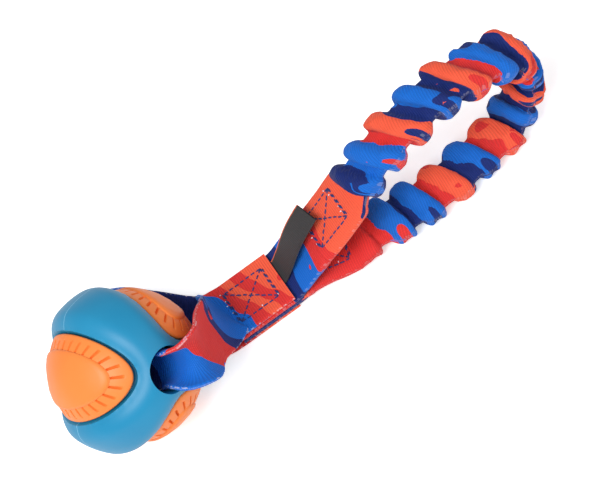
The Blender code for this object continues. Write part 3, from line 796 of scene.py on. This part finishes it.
def handleSkin(lengths, across, facing):
    # Points of the handle's skin. across runs from -1 to 1. facing is 1 outside the loop and -1
    # inside it.
    place, forward, out, side = routeFrame(lengths)
    s = lengths[:, None]
    gather, turn = rollTurns(lengths, across)
    warp = np.array([[noise.noise(Vector((at / handle["warpSize"], x * 0.9, y * 0.6)))
                      for x, y in zip(across, facing)] for at in lengths])
    number, phase = rollPlace(turn + handle["warpShare"] * warp)
    size = 1 + 0.16 * rollRandom[number, 0]
    ridge = np.sqrt(np.clip(1 - (phase / handle["rollShare"]) ** 2, 0, 1)) * size
    slope = np.clip(1 - np.abs(phase) / 0.5, 0, 1)
    ridge = 0.8 * ridge + 0.2 * (0.5 - 0.5 * np.cos(np.pi * slope))
    swell = handle["rollSwell"] * np.sin(np.pi * np.clip(phase / 0.38, -1, 1)) * ridge
    # The rolls are pinched where they end at the webbing's edges
    pinch = pinchAt(across, number, phase)
    pinched = handle["pinchDepth"] * pinch * (0.5 + 0.5 * facing)
    roll = gather * handle["rollDepth"] * (2.0 * ridge - 1 - pinched)
    inTail = (np.clip((tailEnds[0] - s) / handle["tailEaseUpper"], 0, 1)
              + np.clip((s - tailEnds[1]) / handle["tailEaseLower"], 0, 1))
    thick = handle["flatHalfThickness"] + (handle["sleeveHalfThickness"]
                                           - handle["flatHalfThickness"]) * gather
    thick = thick + (tailThickness / 2 - thick) * inTail
    # This divides by slope where gatherEase was meant, so the flat end of the lower sleeve
    # gains 0.05 mm of half thickness on average and not 0.56 mm
    lower = np.clip((s - gatherSpan[1]) / slope, 0, 1) * (1 - inTail)
    thick = thick + (handle["sleeveHalfThickness"] - thick) * lower
    power = 3.0 + 9.7 * inTail
    up = facing * (1 - np.abs(across) ** power) ** (1 / power)
    wide = webbingWidth / 2 + (handle["sleeveHalfWidth"] - webbingWidth / 2) * gather
    wide = wide + 0.8 * roll
    deep = thick + 0.6 * handle["rollDepth"] * gather + 1.1 * roll
    lean = handle["rollLean"] * ridge * gather * (1 + 0.4 * rollRandom[number, 2])
    lean = lean * (1 - 0.55 * across ** 2)
    spots = (place[:, None] + side[:, None] * (across * wide)[..., None]
             + out[:, None] * (up * deep)[..., None]
             + forward[:, None] * (gather * swell - lean)[..., None])
    creases = np.array([[noise.noise(p / handle["creaseSize"]) for p in map(Vector, ring)]
                        for ring in spots])
    # Creases stand up from the cloth and hardly dip, so the elastic inside stays covered
    folds = np.maximum(1 - 2.2 * np.abs(creases), 0.3) - 0.4
    lift = creases * 0.15 * mm + folds * handle["creaseDepth"] * gather
    lift = lift * (np.abs(up) + 0.3) * (1 - inTail)
    spots = spots + out[:, None] * (lift * np.sign(facing))[..., None]
    spots[..., 2] = np.maximum(spots[..., 2], 0.05 * mm)
    return spots


def handleBands():
    pitch = handle["rollPitch"]
    bands = [(start * mm, ink) for start, ink in handle["tailBands"]]
    before, after = handle["ridgeSpan"]
    crest = gatherSpan[0] + handle["rollStart"]
    # The inks are real print colours, but the lighter ones go on each crest and the darker ones in
    # each valley as painted shade
    for litRidgeInk, shadedValleyInk in zip(handle["litRidgeInks"].split(), handle["shadedValleyInks"].split()):
        bands += [(crest - before * pitch, litRidgeInk), (crest + after * pitch, shadedValleyInk)]
        crest += pitch
    return bands + [(wholeLength - back * mm, ink) for back, ink in handle["endBands"]]


handleWebbing = printedWebbing("printedHandleWebbing", handleBands(), 0.0, handle["wander"],
                               handle["fleckShare"], 5.0)
acrossSteps = np.sin(np.linspace(-1, 1, handle["acrossCount"] + 1) * math.pi / 2)
skinAcross = np.concatenate([acrossSteps, acrossSteps[::-1][1:-1]])
skinFacing = np.concatenate([np.ones(len(acrossSteps)), -np.ones(len(acrossSteps) - 2)])


def handlePiece(name, node, start, end, caps):
    count = int((end - start) / handle["ringStep"])
    lengths = np.linspace(start, end, count)
    rings = handleSkin(lengths, skinAcross, skinFacing)
    gather, turn = rollTurns(lengths, skinAcross)
    # The print goes with the rolls where the webbing is gathered, and turns over at a pinch
    turn = turn + 0.5 * pinchAt(skinAcross, *rollPlace(turn))
    rolled = gatherSpan[0] + handle["rollStart"] + turn * handle["rollPitch"]
    along = lengths[:, None] + gather * (rolled - lengths[:, None])
    piece = clothPiece(name, rings, along, skinAcross * webbingWidth / 2, skinFacing,
                       handleWebbing, caps)
    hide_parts(node)
    return piece


def seamSpan(reach, towards):
    # Along x, the nearer and the farther side of the ring at a seam
    ring = handleSkin(np.array([reach]), skinAcross, skinFacing)[0]
    return (ring[:, 0].min(), ring[:, 0].max())[towards]


def blendToGrip(piece, tail, seam):
    # Bakes the strand's place into its mesh. The reaches at the tail's end and at the grip's seam
    # are worked out here, but nothing uses them
    seamSpan(tail, 1) + handle["firmEnd"]
    seamSpan(seam, 0)
    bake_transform(piece)


def makeHandle():
    for name, node, start, end, fold in (
            ("upperTail", "upper_tail", 0, tailEnds[0], handle["foldUpper"]),
            ("lowerTail", "lower_tail", tailEnds[1], wholeLength, handle["foldLower"])):
        tail = handlePiece(name, node, start, end, True)
        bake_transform(tail)
    upper = handlePiece("upperSleeve", "upper_sleeve", tailEnds[0], gripSpan[0], False)
    blendToGrip(upper, tailEnds[0], gripSpan[0])
    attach(handlePiece("gripSleeve", "grip_sleeve", *gripSpan, False), "grip")
    lower = handlePiece("lowerSleeve", "lower_sleeve", gripSpan[1], tailEnds[1], False)
    blendToGrip(lower, tailEnds[1], gripSpan[1])


makeHandle()
print("handle made,", round(wholeLength / mm), "mm along the loop")


# The elastic inside the handle
elastic = {
    "halfWidth": 5.5 * mm,
    "halfThickness": 1.4 * mm,
    "inset": 3.6 * mm,
    "ribPitch": 1.2 * mm,
    "stationStep": 2 * mm,
}


def braidedElastic():
    # Braided elastic band: cream, with fine rubber ribs along its length
    material, tree, shader = newMaterial("braidedElastic")
    ribs = weaveRibs(tree, "Y", elastic["ribPitch"])
    shade = addNode(tree, "ValToRGB", {"Fac": ribs})
    shade.color_ramp.elements[0].color = linearColour("#c9c2ad")
    shade.color_ramp.elements[1].color = linearColour("#e9e3d1")
    bump = addNode(tree, "Bump", {"Height": ribs, "Strength": 0.4, "Distance": 0.1 * mm})
    setInputs(tree, shader, {"Base Color": shade, "Normal": bump, "Roughness": 0.85})
    return material


creamElastic = braidedElastic()


def elasticPiece(name, node, start, end):
    lengths = np.linspace(start, end, int((end - start) / elastic["stationStep"]))
    place, forward, out, side = routeFrame(lengths)
    angles = fullTurn(20)
    across = np.sign(np.cos(angles)) * np.abs(np.cos(angles)) ** 0.75 * elastic["halfWidth"]
    lift = np.sign(np.sin(angles)) * np.abs(np.sin(angles)) ** 0.75 * elastic["halfThickness"]
    rings = place[:, None] + side[:, None] * across[:, None] + out[:, None] * lift[:, None]
    piece = clothPiece(name, rings, lengths, across, np.sign(lift), creamElastic, caps=True)
    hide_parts(node)
    return piece


def makeElastics():
    inset = elastic["inset"]
    upper = elasticPiece("upperElastic", "upper_elastic", tailEnds[0] + inset, gripSpan[0])
    blendToGrip(upper, tailEnds[0], gripSpan[0])
    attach(elasticPiece("gripElastic", "grip_elastic", *gripSpan), "grip")
    lower = elasticPiece("lowerElastic", "lower_elastic", gripSpan[1], tailEnds[1] - inset)
    blendToGrip(lower, tailEnds[1], gripSpan[1])


makeElastics()
print("elastic made")


# Thread and size of the sewn boxes
sewing = {
    "threadRadius": 0.33 * mm,
    "stitchLength": 2.1 * mm,
    "stitchPitch": 2.6 * mm,
    "boxLength": 18.4 * mm,
    "boxWidth": 15.0 * mm,
    "threadSides": 8,
    "plySize": 0.5 * mm,
    "rowGap": 0.55 * mm,
    "wander": 0.12 * mm,
    "setIn": 1.8 * mm,
    "seed": 4,
}


def sewnThread(name, code):
    # Bonded nylon thread: tightly twisted, with a slight gleam
    material, tree, shader = newMaterial(name)
    place = addNode(tree, "TexCoord", {}).outputs["Object"]
    ply = addNode(tree, "TexNoise", {"Vector": place, "Scale": 1 / sewing["plySize"]})
    tone = addNode(tree, "Math", {0: ply, 1: 0.5, 2: 0.75}, operation="MULTIPLY_ADD")
    tinted = addNode(tree, "HueSaturation", {"Value": tone, "Color": linearColour(code)})
    setInputs(tree, shader, {"Base Color": tinted, "Roughness": 0.5})
    return material


navyThread = sewnThread("sewnNavyThread", "#22346f")
paleThread = sewnThread("sewnPaleThread", "#ece9f0")


def stitchRun(spotAt, start, end, rows, pale, draws):
    # Stitches from start to end on the face that spotAt gives, each (from, to, face, pale or not)
    start, end = np.array(start), np.array(end)
    whole = np.linalg.norm(end - start)
    way = (end - start) / whole
    aside = np.array((-way[1], way[0]))
    made = []
    for row in range(rows):
        drift = aside * sewing["rowGap"] * (row - (rows - 1) / 2)
        count = int(whole / sewing["stitchPitch"])
        for k in range(count):
            at = (k + 0.5 + 0.25 * row) * whole / count
            half = sewing["stitchLength"] / 2 * (1 + 0.12 * draws.uniform(-1, 1))
            shift = drift + aside * sewing["wander"] * draws.uniform(-1, 1)
            first, last = start + way * (at - half) + shift, start + way * (at + half) + shift
            made.append((spotAt(*first), spotAt(*last), False))
            if draws.uniform() < pale:
                near = start + way * (at + half + 0.25 * mm) + shift + aside * 0.5 * mm
                made.append((spotAt(*near), spotAt(*(near + aside * 0.8 * mm)), True))
    return made


def threadPiece(name, node, body, spotAt, draws):
    a, b = sewing["boxLength"] / 2, sewing["boxWidth"] / 2
    made = []
    for start, end, rows, pale in (((-a, -b), (-a, b), 2, 0.5), ((a, -b), (a, b), 2, 0.35),
                                   ((-a, -b), (a, -b), 1, 0.1), ((-a, b), (a, b), 1, 0.1),
                                   ((-a, -b), (a, b), 1, 0.0), ((-a, b), (a, -b), 1, 0.0)):
        made += stitchRun(spotAt, start, end, rows, pale, draws)
    points, faces, kinds = [], [], []
    radius, sides = sewing["threadRadius"], sewing["threadSides"]
    # Along a stitch: share of its length, share of the thread's radius, and rise from the cloth
    sections = ((0, 0.35, -0.5), (0.16, 0.9, 0.15), (0.5, 1.0, 0.4), (0.84, 0.9, 0.15),
                (1, 0.35, -0.5))
    spans = len(sections) - 1
    for (first, up), (last, _), isPale in made:
        forward = unit(last - first)
        aside = unit(np.cross(forward, up))
        size = radius * (0.7 if isPale else 1)
        base = len(points)
        for share, grow, lift in sections:
            middle = first + (last - first) * share + up * size * lift
            for turn in fullTurn(sides):
                points.append(middle + (aside * math.cos(turn) + up * math.sin(turn)) * size * grow)
        for low in range(base, base + spans * sides, sides):
            for k in range(sides):
                n = (k + 1) % sides
                faces.append((low + k, low + n, low + sides + n, low + sides + k))
        faces.append(tuple(base + k for k in range(sides))[::-1])
        faces.append(tuple(base + spans * sides + k for k in range(sides)))
        kinds += [int(isPale)] * (spans * sides + 2)
    data = bpy.data.meshes.new(name)
    data.from_pydata([tuple(p) for p in points], [], faces)
    piece = addPiece(name, facingOut(data), [navyThread, paleThread])
    data.polygons.foreach_set("material_index", kinds)
    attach(piece, body)
    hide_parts(node)


def makeSewnBoxes():
    draws = np.random.default_rng(sewing["seed"])
    up = np.array((0, 0, 1.0))

    def patchFace(along, aside):
        spot = (patchMiddle[0] - boxSetback + along, patchMiddle[1] + aside,
                topStrap + strapThickness / 2)
        return toyShift + np.array(spot), up

    threadPiece("patchSewnBox", "patch_box_stitch", "patch", patchFace, draws)
    setIn = sewing["boxLength"] / 2 + sewing["setIn"]
    for name, node, middle, way in (
            ("upperSewnBox", "upper_box_stitch", tailEnds[0] + setIn, 1),
            ("lowerSewnBox", "lower_box_stitch", tailEnds[1] - setIn, -1)):
        def sleeveFace(along, aside):
            at = np.array([middle + along])
            out = routeFrame(at)[2][0] * way
            return handleSkin(at, np.array([aside / (webbingWidth / 2)]),
                              np.array([float(way)]))[0, 0], out

        threadPiece(name, node, "handle", sleeveFace, draws)


makeSewnBoxes()
print("sewn boxes made")


# The ribbon label
label = {
    "width": 12 * mm,
    "length": 34 * mm,
    "thickness": 0.9 * mm,
    "rise": 4.0 * mm,
    "turn": 0.32,
    "ribPitch": 0.9 * mm,
    "edgeWidth": 0.7 * mm,
    "base": "#2e2c2d",
    "edge": "#e0632d",
}


def wovenRibbon():
    # Woven satin ribbon: near black, very fine ribs, one coloured selvedge
    material, tree, shader = newMaterial("wovenRibbon")
    across = addNode(tree, "Attribute", {}, attribute_name="webAcross").outputs["Fac"]
    ribs = weaveRibs(tree, "X", label["ribPitch"])
    atEdge = addNode(tree, "Math", {0: across, 1: label["width"] / 2 - label["edgeWidth"]},
                     operation="GREATER_THAN")
    tint = addNode(tree, "Mix", {"Factor": atEdge, "A": linearColour(label["base"]),
                                 "B": linearColour(label["edge"])}, data_type="RGBA")
    bump = addNode(tree, "Bump", {"Height": ribs, "Strength": 0.25, "Distance": 0.08 * mm})
    setInputs(tree, shader, {"Base Color": tint.outputs["Result"], "Normal": bump,
                             "Roughness": 0.6, "Sheen Weight": 0.1})
    return material


def makeLabel():
    lengths = np.linspace(patchReach + 0.5 * strapThickness, patchReach + label["length"], 60)
    place, forward, out, side = routeFrame(lengths)
    share = (lengths - patchReach) / label["length"]
    lift = tailThickness / 2 + seatGap + label["thickness"] / 2
    lift = lift + (handle["sleeveHalfThickness"] - tailThickness / 2 + label["rise"]) * np.sin(
        0.5 * math.pi * share) ** 1.5
    middle = place + out * lift[:, None] + side * (label["width"] * (0.16 + 0.26 * share))[:, None]
    across, height, facing = bandProfile(label["width"], label["thickness"], 10)
    turn = label["turn"] * share[:, None]
    side = side * np.cos(turn) - forward * np.sin(turn)
    rings = (middle[:, None] + side[:, None] * across[:, None] + out[:, None] * height[:, None])
    piece = clothPiece("ribbonLabel", rings, lengths, across, facing, wovenRibbon(), caps=False)
    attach(piece, "label")
    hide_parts("label")


makeLabel()
print("label made")


# Table and lamps
stage = {
    "floorColour": "#ffffff",
    "floorSize": 6.0,
    "tableGlow": 0.46,
    "worldStrength": 0.42,
    "keyPower": 9.0,
    "keyPlace": (-0.45, -0.35, 0.95),
    "keySize": 0.55,
    "fillPower": 2.4,
    "fillPlace": (0.75, -0.5, 0.7),
    "fillSize": 0.9,
    "aimHeight": 20 * mm,
}
# A long lens high over the toy, rolled so that the handle points up and to the right. Its place
# is in millimetres from the ball's spot on the table.
cameraView = {
    "elevation": 60,
    "roll": 35.8,
    "lens": 100,
    "sensorWidth": 36,
    "place": (82.58, -319.79, 586.61),
}


def whiteTable():
    material, tree, shader = newMaterial("whiteTable")
    # A lit table top: brighter to the eye than to the toy, so only the closest shadow shows
    seen = addNode(tree, "LightPath", {}).outputs["Is Camera Ray"]
    glow = addNode(tree, "Math", {0: seen, 1: stage["tableGlow"]}, operation="MULTIPLY")
    setInputs(tree, shader, {"Base Color": linearColour(stage["floorColour"]),
                             "Emission Color": (1, 1, 1, 1), "Emission Strength": glow,
                             "Roughness": 0.9, "Specular IOR Level": 0.0})
    return material


def makeStage():
    half = stage["floorSize"] / 2
    data = bpy.data.meshes.new("table")
    data.from_pydata([(-half, -half, 0), (half, -half, 0), (half, half, 0), (-half, half, 0)], [],
                     [(0, 1, 2, 3)])
    table = addPiece("table", data, [whiteTable()])
    world = bpy.data.worlds.new("softRoom")
    bpy.context.scene.world = world
    world.use_nodes = True
    tree = world.node_tree
    seen = addNode(tree, "LightPath", {}).outputs["Is Camera Ray"]
    strength = addNode(tree, "Mix", {"Factor": seen, "A": stage["worldStrength"], "B": 1.0})
    setInputs(tree, tree.nodes["Background"], {"Strength": strength, "Color": (1, 1, 1, 1)})
    for name in ("key", "fill"):
        lamp = bpy.data.lights.new(name, "AREA")
        lamp.energy = stage[name + "Power"]
        lamp.size = stage[name + "Size"]
        holder = addObject(name, lamp)
        holder.location = stage[name + "Place"]
        aim = Vector((0, 0, stage["aimHeight"])) - holder.location
        holder.rotation_euler = aim.to_track_quat("-Z", "Y").to_euler()


def makeCamera():
    elevation, roll = [math.radians(cameraView[word]) for word in ("elevation", "roll")]
    back = Vector((0, -math.cos(elevation), math.sin(elevation)))
    right, up = Vector((1, 0, 0)), Vector((0, math.sin(elevation), math.cos(elevation)))
    turned = right * math.cos(roll) - up * math.sin(roll)
    upright = right * math.sin(roll) + up * math.cos(roll)
    data = bpy.data.cameras.new("camera")
    data.lens = cameraView["lens"]
    data.sensor_width = cameraView["sensorWidth"]
    data.clip_end = 20
    holder = addObject("camera", data)
    place = Vector(cameraView["place"]) * mm + Vector(toyShift)
    turn = Matrix((turned, upright, back)).transposed().to_4x4()
    holder.matrix_world = Matrix.Translation(place) @ turn
    bpy.context.scene.camera = holder
    bpy.context.scene.view_settings.view_transform = "Standard"


makeStage()
makeCamera()
print("stage and camera ready")
